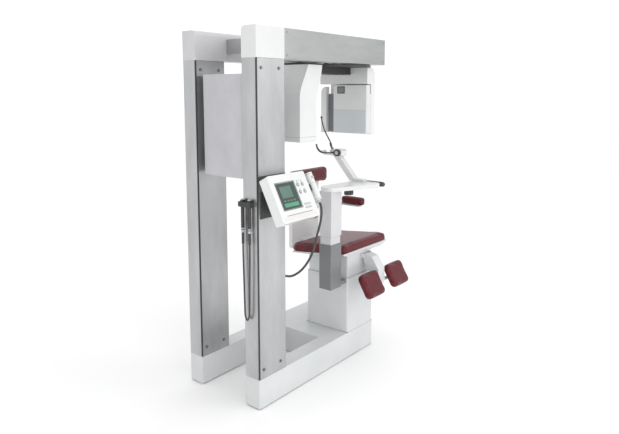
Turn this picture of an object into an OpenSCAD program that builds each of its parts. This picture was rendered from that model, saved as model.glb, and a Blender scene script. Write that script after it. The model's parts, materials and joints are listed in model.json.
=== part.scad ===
// Seated-patient panoramic x-ray machine: a gantry of two columns, base beams
// and top beams; a rotating arm with tube head and receptor hung below an X-Y
// carriage; a lifting chair with armrests and leg pads; a post that carries the
// chin and head support; a tilting control console with a corded handset.
// Origin: on the floor, in the chair's mid-plane and midway between the columns.
// +X points from the columns to the chair, -Y is the way the patient faces.

/* [Gantry] */
// Overall height
total_h = 2000; // [1700:10:2300]
// Overall width over both columns
frame_w = 552; // [500:2:660]
// Distance from the outer face of the columns to the chair's mid-plane
back_x = 990; // [900:10:1200]
// Column width along X
col_w = 213; // [160:1:260]
// Column thickness along Y
col_t = 102; // [80:1:125]
// Wall of the columns and the base
sheet_t = 5; // [3:0.5:8]
// Wall of the top beams and the cabinet
skin_t = 4; // [2:0.5:6]
// Length of the base beams
base_len = 1083; // [1070:1:1300]
// Height of the base beams
base_h = 166; // [120:1:200]
// Length of the top beams
top_len = 1196; // [1130:1:1400]
// Height of the top beams
top_h = 158; // [140:1:200]
// Height of the levelling feet
foot_h = 6; // [4:1:15]
// Diameter of the levelling feet
foot_d = 56; // [30:1:80]
// Thickness of the fascia plate
fascia_t = 4; // [2:0.5:8]
// Height of the generator cabinet
cab_h = 532; // [400:1:560]
// Height of the cabinet's underside above the floor
cab_z = 1230; // [1200:5:1250]
// Gap between the cabinet and the rear column
cab_gap = 40; // [20:1:60]
// Depth of the generator cabinet
cab_d = 185; // [120:1:200]

/* [Scan carriage] */
// Distance of the scan axis from the mid-plane, towards the columns
axis_back = 40; // [20:1:60]
// Distance of the scan axis in front of the column mid-plane
axis_front = 30; // [10:1:40]
// Diameter of the long rails
xrail_d = 24; // [16:1:28]
// Diameter of the cross rails
yrail_d = 20; // [14:1:24]
// Diameter of the spindle
spindle_d = 44; // [30:1:50]
// Diameter of the drive wheel on the spindle
wheel_d = 92; // [80:1:100]
// Diameter of the motor's drive roller
roller_d = 24; // [16:1:30]
// Running clearance, on the radius
run_fit = 0.05; // [0.02:0.01:0.1]
// Clearance between parts that pass each other
air = 2; // [1:0.5:4]

/* [Rotating arm] */
// Diameter of the turntable
disc_d = 500; // [400:5:520]
// Thickness of the turntable
disc_t = 12; // [8:1:16]
// Width of the tube head and the receptor
arm_w = 380; // [300:2:400]
// Distance from the scan axis to the outer face of the tube head
tube_r = 545; // [500:1:580]
// Depth of the tube head below its neck
tube_d = 150; // [140:1:170]
// Height of the tube head's underside above the floor
tube_z = 1390; // [1350:1:1400]
// Distance from the scan axis to the receptor's upper block
rec_r = 130; // [125:1:160]
// Thickness of the receptor
rec_t = 90; // [80:1:120]
// Height of the receptor's underside above the floor
rec_z = 1398; // [1380:1:1420]
// Length of the cassette box
cas_w = 266; // [220:1:280]
// Height of the cassette box
cas_h = 312; // [260:1:320]

/* [Chair] */
// Width of the pedestal
ped_w = 283; // [240:1:300]
// Depth of the pedestal
ped_d = 325; // [280:1:360]
// Height of the pedestal's rim above the floor
ped_top = 518; // [480:1:540]
// Wall of the pedestal
ped_wall = 6; // [3:0.5:10]
// Height of the seat's front edge above the floor
seat_z = 732; // [700:1:760]
// Width of the seat cushion
seat_w = 508; // [420:2:510]
// Depth of the seat cushion
seat_l = 426; // [400:1:460]
// Thickness of the seat cushion
seat_t = 48; // [40:1:60]
// Backward slope of the seat, degrees
seat_tilt = 6.4; // [3:0.1:9]
// Width of the back pad
back_w = 380; // [300:2:420]
// Height of the back pad
back_h = 100; // [80:1:140]
// Thickness of the back pad
back_t = 40; // [30:1:50]
// Distance between the two armrests
arm_span = 524; // [500:2:560]
// Width of an armrest pad
apad_w = 58; // [45:1:70]
// Length of an armrest pad
apad_l = 195; // [160:1:220]
// Thickness of an armrest pad
apad_t = 58; // [40:1:65]
// Diameter of the armrest bar
abar_d = 28; // [22:1:32]
// Distance between the two leg pads
leg_span = 292; // [260:2:320]
// Width of a leg pad
lpad_w = 190; // [150:1:200]
// Height of a leg pad
lpad_h = 158; // [120:1:180]
// Thickness of a leg pad
lpad_t = 45; // [30:1:55]
// Slope of the leg pads from upright, degrees
lpad_tilt = 30; // [20:1:40]
// Diameter of the leg pad bar
lbar_d = 24; // [18:1:30]

/* [Head support] */
// Width of the post along X
post_w = 107; // [90:1:110]
// Depth of the post along Y
post_d = 90; // [70:1:100]
// Height of the sleeve's underside above the floor
sleeve_z = 488; // [470:1:520]
// Length of the post's sleeve
sleeve_l = 275; // [200:1:300]
// Wall of the post's sleeve
sleeve_wall = 5; // [3:0.5:8]
// Height of the tray's underside above the floor
tray_z = 1086; // [1060:1:1110]
// Thickness of the tray
tray_t = 24; // [16:1:30]
// Width of the chin arm
chin_w = 44; // [30:1:60]
// Diameter of the forehead rod
rod_d = 8; // [5:0.5:10]
// Distance between the two jaw supports
jaw_span = 150; // [130:2:180]

/* [Console] */
// Width of the console
con_w = 288; // [240:1:300]
// Height of the console's face
con_h = 253; // [220:1:280]
// Thickness of the console
con_t = 58; // [40:1:60]
// Backward slope of the console's face, degrees
con_tilt = 27.4; // [20:0.1:35]
// Distance from the column to the console's top edge
con_out = 62; // [60:1:90]
// Height of the console's top edge above the floor
con_z = 1256; // [1150:1:1280]
// Side of the square screen window
scr_w = 140; // [100:1:150]
// Diameter of a key
key_d = 15; // [10:1:18]
// Stand-out of a key
key_up = 3; // [2.5:0.5:5]
// Diameter of the handset
hand_d = 38; // [28:1:40]
// Length of the handset
hand_l = 155; // [120:1:165]
// Diameter of the handset's cord
hand_cord_d = 13; // [7:0.5:13.5]
// Diameter of the hand switches' cord
switch_cord_d = 9; // [5:0.5:10]

/* [Hidden] */
$fn = 48;

// Gantry
x0 = -back_x;
yo = frame_w / 2;
yi = yo - col_t;
col_top = total_h - top_h;
base_x1 = x0 + base_len;
top_x1 = x0 + top_len;
cross_x0 = -350;
foot_xs = [x0 + 60, cross_x0 + 40, base_x1 - 60];
seam = 0.3;

// Scan axis and carriage
ax = -axis_back;
ay = -axis_front;
tie_t = 40;
tie_x0 = x0 + col_w + 17;
tie_x1 = top_x1 - 46;
xrail_y = 130;
xrail_z = col_top + 83;
yrail_x = 80;
yrail_z = col_top + 38;
bear_l = 60;
bear_x = yrail_x;
bear_w = 50;
ycar_l = 90;
hub_z0 = col_top + 18;
hub_z1 = col_top + 71;
roller_off = (wheel_d + roller_d) / 2 + seam;

// Rotating arm
disc_z = col_top - 4 - disc_t;
tube_x0 = ax - tube_r;
tube_x1 = tube_x0 + tube_d;
rec_x0 = ax + rec_r;
rec_x1 = rec_x0 + rec_t;
arm_y0 = ay - arm_w / 2;
arm_y1 = ay + arm_w / 2;
rec_mid = rec_x0 + rec_t / 2;
block_z = 1722;
fin_w = 44;
track_t = 10;
cas_y0 = arm_y0 + 2;
cas_t = 38;

// Chair
seat_x = 8;
seat_y = -280;
ped_x1 = base_x1;
ped_x0 = ped_x1 - ped_w;
ped_y0 = -yo;
ped_y1 = ped_y0 + ped_d;
shroud_gap = ped_wall + air;
seat_back_y = seat_y + seat_l * cos(seat_tilt);
pan_h = 30;
link_z = seat_z - 125;
panel_y = 215;
panel_t = 28;
panel_w = 290;
panel_z = seat_z - 120;
pad_y = panel_y - 6 - seam;
back_z = seat_z + 320;
stud_z = back_z + back_h / 2;
abar_y = 170;
abar_z = seat_z + 160;
apad_y0 = -85;
apad_z = abar_z - 6;
leg_y = -288;
leg_z = seat_z - 100;
leg_pin_d = 12;
lbar_y = -382;
lbar_z = leg_z - 156;
lbar_gap = 22;

// Head support
post_x = -312;
post_y = -231;
hx = -20;
slide_y0 = -285;
slide_y1 = -185;
arm_top_z = 1262;
block_y0 = -120;
block_y1 = -36;
block_top = 1306;
rod_y = -22;
rod_z = 1290;
jaw_x = 42;
jaw_y = -58;

// Console
con_x = x0;
con_y = -yo - con_out;
pivot_v = 103;
hs_u = con_w + 45;
hs_w = -10;

// Routes of the free cords
handset_route = [[-657, -415, 1086], [-656, -424, 1065], [-650, -422, 1020], [-638, -402, 960],
    [-624, -368, 880], [-618, -342, 804], [-628, -312, 736], [-656, -284, 686], [-696, -256, 660],
    [-732, -236, 664], [-754, -226, 677], [-765, -225, 685]];
switch_route = [[-1006, -185, 896], [-1006, -185, 850], [-1006, -187, 760], [-1006, -190, 650],
    [-1006, -192, 560], [-1006, -195, 510], [-1006, -208, 488], [-1006, -222, 510],
    [-1006, -226, 560], [-1006, -228, 650], [-1006, -231, 760], [-1006, -233, 850],
    [-1006, -233, 896]];

// ---- shapes used more than once ----
module rrect(w, l, r) {
    translate([r, 0]) square([w - 2 * r, l]);
    translate([0, r]) square([w, l - 2 * r]);
    for (x = [r, w - r], y = [r, l - r]) translate([x, y]) circle(r);
}
module box(a, b) { translate(a) cube(b - a); }
module rbox(a, b, r) {
    translate(a) linear_extrude(height = b.z - a.z) rrect(b.x - a.x, b.y - a.y, r);
}
module xcyl(x, y, z, r, l) { translate([x, y, z]) rotate([0, 90, 0]) cylinder(r = r, h = l); }
module ycyl(x, y, z, r, l) { translate([x, y, z]) rotate([-90, 0, 0]) cylinder(r = r, h = l); }
module zcyl(x, y, z, r, l) { translate([x, y, z]) cylinder(r = r, h = l); }
// Profile drawn in Y and Z, extruded along X from x to x + w
module yz_slab(x, w, pts) {
    translate([x, 0, 0]) rotate([90, 0, 90]) linear_extrude(height = w) polygon(pts);
}
// Profile drawn in X and Z, extruded along Y from y to y + w
module xz_slab(y, w, pts) {
    translate([0, y + w, 0]) rotate([90, 0, 0]) linear_extrude(height = w) polygon(pts);
}
// Cushion block with rounded upright edges, corner at the origin
module cushion(w, l, t, r) { linear_extrude(height = t) rrect(w, l, r); }
// Tube swept along a smooth curve through the points of a route
function cm(a, b, c, d, t) = 0.5 * ((2 * b) + (c - a) * t + (2 * a - 5 * b + 4 * c - d) * t * t
    + (3 * b - a - 3 * c + d) * t * t * t);
function curve(p, n) = let (k = len(p) - 1) [for (i = [0:k - 1], j = [0:n - 1])
    cm(p[max(i - 1, 0)], p[i], p[i + 1], p[min(i + 2, k)], j / n), p[k]];
function unit(v) = v / norm(v);
function tangent(q, i) = unit(q[min(i + 1, len(q) - 1)] - q[max(i - 1, 0)]);
function ring(c, t, r, s, ref) = let (u = unit(cross(t, ref)), w = cross(t, u))
    [for (k = [0:s - 1]) c + r * (cos(360 * k / s) * u + sin(360 * k / s) * w)];
module cord(p, n, d, s, ref) {
    q = curve(p, n);
    m = len(q);
    pts = [for (i = [0:m - 1]) each ring(q[i], tangent(q, i), d / 2, s, ref)];
    sides = [for (i = [0:m - 2], k = [0:s - 1]) [i * s + k, (i + 1) * s + k,
        (i + 1) * s + (k + 1) % s, i * s + (k + 1) % s]];
    ends = [[for (k = [0:s - 1]) k], [for (k = [s - 1:-1:0]) (m - 1) * s + k]];
    polyhedron(points = pts, faces = concat(sides, ends), convexity = 6);
}

// ---- gantry ----
module column(y) {
    color([0.72, 0.73, 0.75]) difference() {
        rbox([x0, y, base_h], [x0 + col_w, y + col_t, col_top], 4);
        box([x0 - 1, y - 1, base_h - 1], [x0 + 8, y + 6, col_top + 1]);
        box([x0 + 8 + sheet_t, y + 6 + sheet_t, base_h - 1],
            [x0 + col_w - sheet_t, y + col_t - sheet_t, col_top + 1]);
    }
}
module column_bolts() {
    color([0.45, 0.46, 0.48]) for (y = [-yo, yi], x = [36, col_w - 45],
        z = [base_h + 50, col_top - 50])
        translate([x0 + x, y, z]) rotate([90, 0, 0]) {
            cylinder(r = 9, h = 2);
            cylinder(r = 6.5, h = 5);
        }
}
// Two beams folded from sheet, open below, and the cross box that fills the space under the chair
module base_beams() {
    t = sheet_t;
    color([0.83, 0.84, 0.85]) {
        difference() {
            union() {
                for (y = [-yo, yi]) rbox([x0, y, foot_h], [base_x1, y + col_t, base_h], 5);
                box([cross_x0, -yi, foot_h], [base_x1, yi, base_h]);
            }
            for (y = [-yo, yi]) box([x0 + t, y + t, foot_h - 1],
                [base_x1 - t, y + col_t - t, base_h - t]);
        }
        for (y = [-yo, yi], x = foot_xs)
            box([x - 32, y + t - 1, foot_h], [x + 32, y + col_t - t + 1, foot_h + 40]);
    }
}
module feet() {
    color([0.2, 0.2, 0.21]) for (y = [-yo, yi], x = foot_xs)
        zcyl(x, y + col_t / 2, 0, foot_d / 2, foot_h);
}
module beam_profile(t, h, r) {
    square([t, h - r]);
    square([t - r, h]);
    translate([t - r, h - r]) circle(r);
}
// Hollow top beam from xa to xb; ca and cb are the walls left at its two ends
module top_beam(xa, xb, t, ca, cb) {
    translate([xa, 0, col_top]) rotate([90, 0, 90]) difference() {
        linear_extrude(height = xb - xa) beam_profile(t, top_h, 24);
        translate([skin_t, skin_t, ca]) linear_extrude(height = xb - xa - ca - cb)
            beam_profile(t - 2 * skin_t, top_h - 2 * skin_t, 20);
    }
}
module top_end_block() {
    color([0.88, 0.88, 0.88]) translate([0, -yo, 0]) top_beam(x0, x0 + col_w, col_t, skin_t, -1);
}
module top_beam_front() {
    color([0.7, 0.7, 0.71]) translate([0, -yo + fascia_t, 0])
        top_beam(x0 + col_w, top_x1, col_t - fascia_t, -1, skin_t);
}
module fascia() {
    color([0.66, 0.67, 0.67])
        box([x0 + col_w, -yo, col_top], [top_x1, -yo + fascia_t, total_h]);
}
module top_beam_rear() {
    color([0.82, 0.82, 0.83]) difference() {
        mirror([0, 1, 0]) translate([0, -yo, 0]) top_beam(x0, top_x1, col_t, skin_t, skin_t);
        box([x0 + 40, yi + 20, col_top - 1], [x0 + col_w - 40, yo - 20, col_top + skin_t + 1]);
    }
}
module rail_set() {
    color([0.6, 0.61, 0.63]) {
        for (x = [tie_x0, tie_x1 - tie_t])
            box([x, -yi, xrail_z - 40], [x + tie_t, yi, xrail_z + 40]);
        for (s = [-1, 1])
            xcyl(tie_x0 + tie_t, s * xrail_y, xrail_z, xrail_d / 2, tie_x1 - tie_x0 - 2 * tie_t);
    }
}
module cabinet_box() {
    color([0.7, 0.7, 0.72]) difference() {
        box([x0 + 30, -yi, cab_z], [x0 + cab_d, yi - cab_gap, cab_z + cab_h]);
        box([x0 + 29, -yi + skin_t, cab_z + skin_t],
            [x0 + cab_d - skin_t, yi - cab_gap - skin_t, cab_z + cab_h - skin_t]);
    }
}
module cabinet_cover() {
    w = 2 * yi - cab_gap;
    color([0.75, 0.75, 0.77]) translate([x0 + 30, -yi + 1, cab_z - 2])
        linear_extrude(height = cab_h + 4)
        polygon([[0, 0], [-22, 0], for (i = [0:12]) let (t = i / 12)
            [-22 - 8 * sin(180 * t) + 6 * max(0, t - 0.85) / 0.15, t * (w - 5)],
            [-8, w - 1], [0, w - 1]]);
}

// ---- scan carriage ----
module x_carriage() {
    bx = bear_x + bear_l / 2;
    color([0.35, 0.36, 0.38]) difference() {
        union() {
            for (sx = [-1, 1], sy = [-1, 1])
                box([ax + sx * bear_x - bear_l / 2, sy * xrail_y - bear_w / 2, yrail_z - 16],
                    [ax + sx * bear_x + bear_l / 2, sy * xrail_y + bear_w / 2, xrail_z + 24]);
            for (sx = [-1, 1])
                ycyl(ax + sx * yrail_x, -xrail_y, yrail_z, yrail_d / 2, 2 * xrail_y);
            difference() {
                box([ax - bx, -xrail_y - bear_w / 2, xrail_z + 24],
                    [ax + bx, xrail_y + bear_w / 2, xrail_z + 32]);
                box([ax - 65, -95, xrail_z + 20], [ax + 65, 95, xrail_z + 40]);
            }
        }
        for (sy = [-1, 1])
            xcyl(ax - bx - 1, sy * xrail_y, xrail_z, xrail_d / 2 + run_fit, 2 * bx + 2);
    }
}
module y_carriage() {
    px = yrail_x + 20;
    color([0.55, 0.56, 0.58]) difference() {
        union() {
            box([ax - px, ay - ycar_l / 2, yrail_z - 14], [ax + px, ay + ycar_l / 2, yrail_z + 14]);
            zcyl(ax, ay, hub_z0, spindle_d / 2 + 12, hub_z1 - hub_z0);
            zcyl(ax - roller_off, ay, yrail_z + 13, 22, 56);
        }
        for (sx = [-1, 1])
            ycyl(ax + sx * yrail_x, ay - ycar_l, yrail_z, yrail_d / 2 + run_fit, 2 * ycar_l);
        zcyl(ax, ay, hub_z0 - 9, spindle_d / 2 + run_fit, 80);
        zcyl(ax - roller_off, ay, yrail_z - 20, 5 + run_fit, 44);
    }
}
module drive_roller() {
    color([0.2, 0.2, 0.2]) {
        zcyl(ax - roller_off, ay, col_top + 1, roller_d / 2, 14);
        zcyl(ax - roller_off, ay, col_top + 15, 5, 40);
    }
}
module spindle() {
    color([0.62, 0.63, 0.65]) {
        zcyl(ax, ay, disc_z + disc_t, spindle_d / 2, hub_z1 + 14 - disc_z - disc_t);
        zcyl(ax, ay, disc_z + disc_t, wheel_d / 2, hub_z0 - 4 - disc_z - disc_t);
        zcyl(ax, ay, hub_z1 + seam, spindle_d / 2 + 8, 12);
    }
}

// ---- rotating arm ----
module turntable() {
    color([0.28, 0.29, 0.3]) {
        zcyl(ax, ay, disc_z, disc_d / 2, disc_t);
        box([tube_x0 + 75, ay - 110, disc_z], [ax, ay + 110, disc_z + disc_t - 1]);
        box([tube_x0 + 204, ay - 60, disc_z - 44], [rec_x0, ay + 60, disc_z]);
    }
}
module tube_cover() {
    zt = disc_z;
    color([0.9, 0.9, 0.9]) difference() {
        xz_slab(arm_y0, arm_w, [[tube_x0 + 4, tube_z], [tube_x0, tube_z + 6], [tube_x0, 1640],
            [tube_x0 + 3, 1668], [tube_x0 + 12, 1698], [tube_x0 + 27, 1728],
            [tube_x0 + 46, 1765], [tube_x0 + 62, 1798], [tube_x0 + 74, zt],
            [tube_x0 + 204, zt], [tube_x0 + 194, 1772], [tube_x0 + 184, 1735],
            [tube_x0 + 168, 1690], [tube_x0 + 156, 1650], [tube_x0 + 150, 1620],
            [tube_x0 + 148, 1590], [tube_x1, 1560], [tube_x1, tube_z + 6], [tube_x1 - 4, tube_z]]);
        box([tube_x1 - 8, ay - 9, 1415], [tube_x1 + 1, ay + 9, 1550]);
        box([tube_x0 + 14, arm_y0 + 14, tube_z - 1], [tube_x1 - 14, arm_y1 - 14, tube_z + 3]);
    }
}
module receptor_frame() {
    fy = arm_y1 - fin_w;
    color([0.88, 0.89, 0.89]) {
        xz_slab(arm_y0, arm_w, [[rec_x0, block_z], [rec_x1, block_z], [rec_x1, disc_z - 44],
            for (i = [0:6]) let (a = 15 * i) [rec_x1 - 44 + 44 * cos(a), disc_z - 44 + 44 * sin(a)],
            [rec_x0, disc_z]]);
        box([rec_mid, arm_y0, rec_z], [rec_x1, fy - 12, block_z]);
        box([rec_mid - track_t, arm_y0 + 2, rec_z + 4], [rec_mid, fy, block_z - 62]);
        yz_slab(rec_mid - 35, 35, [[fy, rec_z], [arm_y1, rec_z], for (i = [0:6]) let (a = 15 * i)
            [arm_y1 - 38 + 38 * cos(a), rec_z + 270 + 38 * sin(a)], [fy, rec_z + 308]]);
    }
}
module cassette_box() {
    x1 = rec_mid - track_t - seam;
    color([0.84, 0.85, 0.85]) translate([0, 0, rec_z + 6]) linear_extrude(height = cas_h)
        polygon([[x1, cas_y0], [x1, cas_y0 + cas_w], [x1 - cas_t + 6, cas_y0 + cas_w],
            for (i = [0:12]) let (t = i / 12)
                [x1 - cas_t - 7 * sin(180 * t), cas_y0 + cas_w - 4 - t * (cas_w - 8)],
            [x1 - cas_t + 6, cas_y0]]);
}

// ---- chair ----
module pedestal() {
    color([0.85, 0.86, 0.87]) difference() {
        rbox([ped_x0, ped_y0, base_h], [ped_x1, ped_y1, ped_top], 14);
        rbox([ped_x0 + ped_wall, ped_y0 + ped_wall, base_h + 6],
            [ped_x1 - ped_wall, ped_y1 - ped_wall, ped_top + 1], 10);
    }
}
module seat_frame() { translate([seat_x, seat_y, seat_z]) rotate([-seat_tilt, 0, 0]) children(); }
module seat_base() {
    g = shroud_gap;
    color([0.86, 0.87, 0.88]) {
        difference() {
            rbox([ped_x0 + g, ped_y0 + g, ped_top - 160],
                [ped_x1 - g, ped_y1 - g, seat_z - seat_t - pan_h], 8);
            rbox([ped_x0 + g + 6, ped_y0 + g + 6, ped_top - 161],
                [ped_x1 - g - 6, ped_y1 - g - 6, seat_z - seat_t - pan_h - 60], 4);
            seat_frame() translate([-seat_w, -60, -seat_t - pan_h / 2]) cube([2 * seat_w, 700, 300]);
        }
        seat_frame() hull() {
            translate([-seat_w / 2 + 6, 6, -seat_t - seam - 8]) cube([seat_w - 12, seat_l - 12, 8]);
            translate([-seat_w / 2 + 70, 16, -seat_t - pan_h]) cube([seat_w - 140, seat_l - 70, 8]);
        }
        for (s = [-1, 1]) difference() {
            yz_slab(seat_x + s * 46 - 5, 10, [[ped_y0 + g, leg_z - 14], [leg_y, leg_z - 14],
                [leg_y - 12, leg_z - 6], [leg_y - 12, leg_z + 6], [leg_y, leg_z + 14],
                [ped_y0 + g, leg_z + 16]]);
            xcyl(seat_x + s * 46 - 6, leg_y, leg_z, leg_pin_d / 2 + run_fit, 12);
        }
        yz_slab(seat_x - 60, 120, [[seat_back_y - 60, link_z], [panel_y, link_z],
            [panel_y, link_z + 65], [seat_back_y + 20, link_z + 35], [seat_back_y + 2, link_z + 22],
            [seat_back_y - 60, link_z + 22]]);
        for (x = [ped_x0 + ped_wall + seam, ped_x1 - g - 1])
            box([x, ped_y0 + ped_d / 2 - 40, ped_top - 160],
                [x + shroud_gap - ped_wall - seam + 1, ped_y0 + ped_d / 2 + 40, ped_top - 125]);
    }
}
module seat_cushion() {
    color([0.45, 0.08, 0.13]) seat_frame() translate([-seat_w / 2, 0, -seat_t])
        cushion(seat_w, seat_l, seat_t, 20);
}
module back_support() {
    color([0.88, 0.88, 0.89]) {
        translate([0, panel_y + panel_t, 0]) rotate([90, 0, 0]) linear_extrude(height = panel_t)
            difference() {
                translate([-panel_w / 2, panel_z]) rrect(panel_w, 530, 26);
                translate([-7, stud_z - 130]) rrect(14, 160, 6.9);
            }
        for (x = [-90, 90]) difference() {
            box([x - 14, abar_y, abar_z - 22], [x + 14, panel_y, abar_z + 22]);
            xcyl(x - 15, abar_y, abar_z, abar_d / 2, 30);
        }
        xcyl(seat_x - arm_span / 2 - 30, abar_y, abar_z, abar_d / 2, arm_span + 60);
    }
}
module back_carrier() {
    color([0.3, 0.31, 0.33]) {
        box([-150, pad_y + seam, back_z + 12], [150, panel_y - seam, back_z + back_h - 12]);
        ycyl(0, panel_y - 2, stud_z, 6, panel_t + 12);
        ycyl(0, panel_y + panel_t + seam, stud_z, 20, 16);
    }
}
module back_pad() {
    color([0.48, 0.08, 0.13]) translate([-back_w / 2, pad_y - back_t, back_z])
        cushion(back_w, back_t, back_h, 16);
}
module armrest_frame(s) {
    cx = seat_x + s * arm_span / 2;
    color([0.8, 0.81, 0.82]) difference() {
        union() {
            xcyl(cx - 22, abar_y, abar_z, abar_d / 2 + 8, 44);
            box([cx - 12, 96, apad_z - 14], [cx + 12, abar_y - 12, apad_z + 8]);
            box([cx - 20, apad_y0 + 25, apad_z - 8], [cx + 20, 110, apad_z - seam]);
        }
        xcyl(cx - 23, abar_y, abar_z, abar_d / 2 + run_fit, 46);
    }
}
module armrest_pad(s) {
    color([0.4, 0.07, 0.12]) translate([seat_x + s * arm_span / 2 - apad_w / 2, apad_y0, apad_z])
        cushion(apad_w, apad_l - 15, apad_t, 20);
}
module leg_arm() {
    w = 75;
    color([0.8, 0.82, 0.82]) difference() {
        union() {
            yz_slab(seat_x - w / 2, w, [[leg_y + 8, leg_z - 14], [leg_y + 8, leg_z + 8],
                [leg_y - 10, leg_z + 14], [leg_y - 60, leg_z + 2], [lbar_y - 14, leg_z - 70],
                [lbar_y - 18, lbar_z + 4], [lbar_y - 10, lbar_z - 16], [lbar_y + 12, lbar_z - 16],
                [lbar_y + 36, lbar_z + 40], [leg_y - 14, leg_z - 60]]);
            xcyl(seat_x - leg_span / 2 - 40, lbar_y, lbar_z, lbar_d / 2, leg_span + 80);
        }
        xcyl(seat_x - w, leg_y, leg_z, leg_pin_d / 2, 2 * w);
    }
    color([0.5, 0.5, 0.52]) xcyl(seat_x - 56, leg_y, leg_z, leg_pin_d / 2, 112);
}
module leg_frame(s) {
    translate([seat_x + s * leg_span / 2, lbar_y, lbar_z]) rotate([90 - lpad_tilt, 0, 0]) children();
}
module leg_mount(s) {
    color([0.3, 0.31, 0.32]) leg_frame(s) difference() {
        union() {
            translate([-18, 0, 0]) rotate([0, 90, 0]) cylinder(r = lbar_d / 2 + 6, h = 36);
            translate([-18, -14, 0]) cube([36, 28, lbar_gap - 4]);
            translate([-60, -50, lbar_gap - 4]) cube([120, 100, 4 - seam]);
        }
        translate([-19, 0, 0]) rotate([0, 90, 0]) cylinder(r = lbar_d / 2 + run_fit, h = 38);
    }
}
module leg_pad(s) {
    color([0.46, 0.08, 0.13]) leg_frame(s) translate([-lpad_w / 2, -lpad_h / 2, lbar_gap])
        cushion(lpad_w, lpad_h, lpad_t, 18);
}

// ---- head support ----
module post_sleeve() {
    a = [post_x - post_w / 2, post_y - post_d / 2, sleeve_z];
    b = [post_x + post_w / 2, post_y + post_d / 2, sleeve_z + sleeve_l];
    color([0.42, 0.43, 0.44]) {
        difference() {
            rbox(a, b, 4);
            rbox([a.x + sleeve_wall, a.y + sleeve_wall, a.z + 6],
                [b.x - sleeve_wall, b.y - sleeve_wall, b.z + 1], 3);
        }
        box([b.x, a.y + 12, sleeve_z + 2], [ped_x0, b.y - 12, sleeve_z + 24]);
    }
}
module post_inner() {
    g = sleeve_wall + 0.5;
    color([0.8, 0.8, 0.82]) difference() {
        union() {
            rbox([post_x - post_w / 2 + g, post_y - post_d / 2 + g, sleeve_z + 90],
                [post_x + post_w / 2 - g, post_y + post_d / 2 - g, sleeve_z + sleeve_l + 51], 3);
            rbox([post_x - post_w / 2, post_y - post_d / 2, sleeve_z + sleeve_l + 50],
                [post_x + post_w / 2, post_y + post_d / 2, tray_z], 4);
        }
        rbox([post_x - post_w / 2 + g + 4, post_y - post_d / 2 + g + 4, sleeve_z + 89],
            [post_x + post_w / 2 - g - 4, post_y + post_d / 2 - g - 4, tray_z - 8], 2);
    }
}
module tray() {
    color([0.87, 0.88, 0.88]) difference() {
        translate([0, 0, tray_z]) linear_extrude(height = tray_t) hull() {
            translate([post_x, post_y]) circle(58);
            translate([-42, -246]) circle(46);
            translate([-50, -346]) circle(54);
        }
        box([hx - 6, -340, tray_z + tray_t - 8], [hx + 6, -150, tray_z + tray_t + 1]);
        for (y = [-270, -350]) xcyl(-31, y, tray_z + tray_t / 2, 5 + run_fit, 52);
        zcyl(-150, -250, tray_z - 1, 6 + run_fit, 15);
    }
}
module hand_grip() {
    z = tray_z + tray_t / 2;
    color([0.45, 0.46, 0.47]) {
        ycyl(22, -388, z, 15, 128);
        translate([22, -388, z]) sphere(15);
        translate([22, -260, z]) sphere(15);
        for (y = [-270, -350]) xcyl(-30, y, z, 5, 50);
    }
}
module tray_knob() {
    color([0.3, 0.31, 0.32]) {
        zcyl(-150, -250, tray_z - 2, 6, 12);
        zcyl(-150, -250, tray_z - 14, 14, 12);
        zcyl(-150, -250, tray_z - 44, 26, 30);
        for (i = [0:5]) translate([-150, -250, tray_z - 44]) rotate([0, 0, 60 * i])
            translate([24, 0, 0]) cylinder(r = 5, h = 30);
    }
}
module chin_arm() {
    zt = tray_z + tray_t;
    color([0.85, 0.86, 0.86]) {
        yz_slab(hx - chin_w / 2, chin_w, [[slide_y0, zt + seam], [slide_y1 + 6, zt + seam],
            [slide_y1 + 12, zt + 8], [-50, arm_top_z], [-98, arm_top_z], [-212, zt + 18],
            [slide_y0, zt + 14]]);
        box([hx - 5.9, slide_y0 + 4, zt - 7], [hx + 5.9, -215, zt + 2]);
    }
}
module head_block() {
    color([0.88, 0.88, 0.87]) difference() {
        union() {
            yz_slab(hx - 30, 60, [[block_y0 + 6, arm_top_z], [block_y1, arm_top_z],
                [block_y1, block_top - 10], [block_y1 - 10, block_top], [block_y0 + 12, block_top],
                [block_y0, block_top - 10], [block_y0, arm_top_z + 8]]);
            for (s = [-1, 1]) yz_slab(hx + s * 10 - 3, 6, [[block_y1 - 1, rod_z - 9],
                [rod_y + 2, rod_z - 9], [rod_y + 9, rod_z - 4], [rod_y + 9, rod_z + 4],
                [rod_y + 2, rod_z + 9], [block_y1 - 1, rod_z + 9]]);
            for (s = [-1, 1]) zcyl(hx + s * jaw_x, jaw_y, arm_top_z + 4, 9, 12);
            for (s = [-1, 1]) box([hx + s * (jaw_x - 7) - 7, jaw_y - 9, arm_top_z + 4],
                [hx + s * (jaw_x - 7) + 7, jaw_y + 9, arm_top_z + 16]);
            for (s = [-1, 1]) zcyl(hx + s * jaw_x, jaw_y, arm_top_z + 15, 4, 14);
        }
        for (s = [-1, 1]) xcyl(hx + s * 10 - 4, rod_y, rod_z, 3, 8);
        xcyl(hx - 31, -92, arm_top_z + 22, 6 + run_fit, 16);
    }
    color([0.5, 0.5, 0.5]) xcyl(hx - 13, rod_y, rod_z, 3, 26);
}
module block_knob() {
    color([0.45, 0.46, 0.47]) {
        xcyl(hx - 31 - 14, -92, arm_top_z + 22, 22, 14);
        xcyl(hx - 31, -92, arm_top_z + 22, 6, 14);
    }
}
module chin_rest() {
    color([0.9, 0.9, 0.9]) yz_slab(hx - 27, 54, [[block_y1, arm_top_z + 2], [16, arm_top_z + 2],
        [42, arm_top_z + 12], [54, arm_top_z + 26], [48, arm_top_z + 28], [36, arm_top_z + 16],
        [14, arm_top_z + 9], [block_y1, arm_top_z + 9]]);
}
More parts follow.
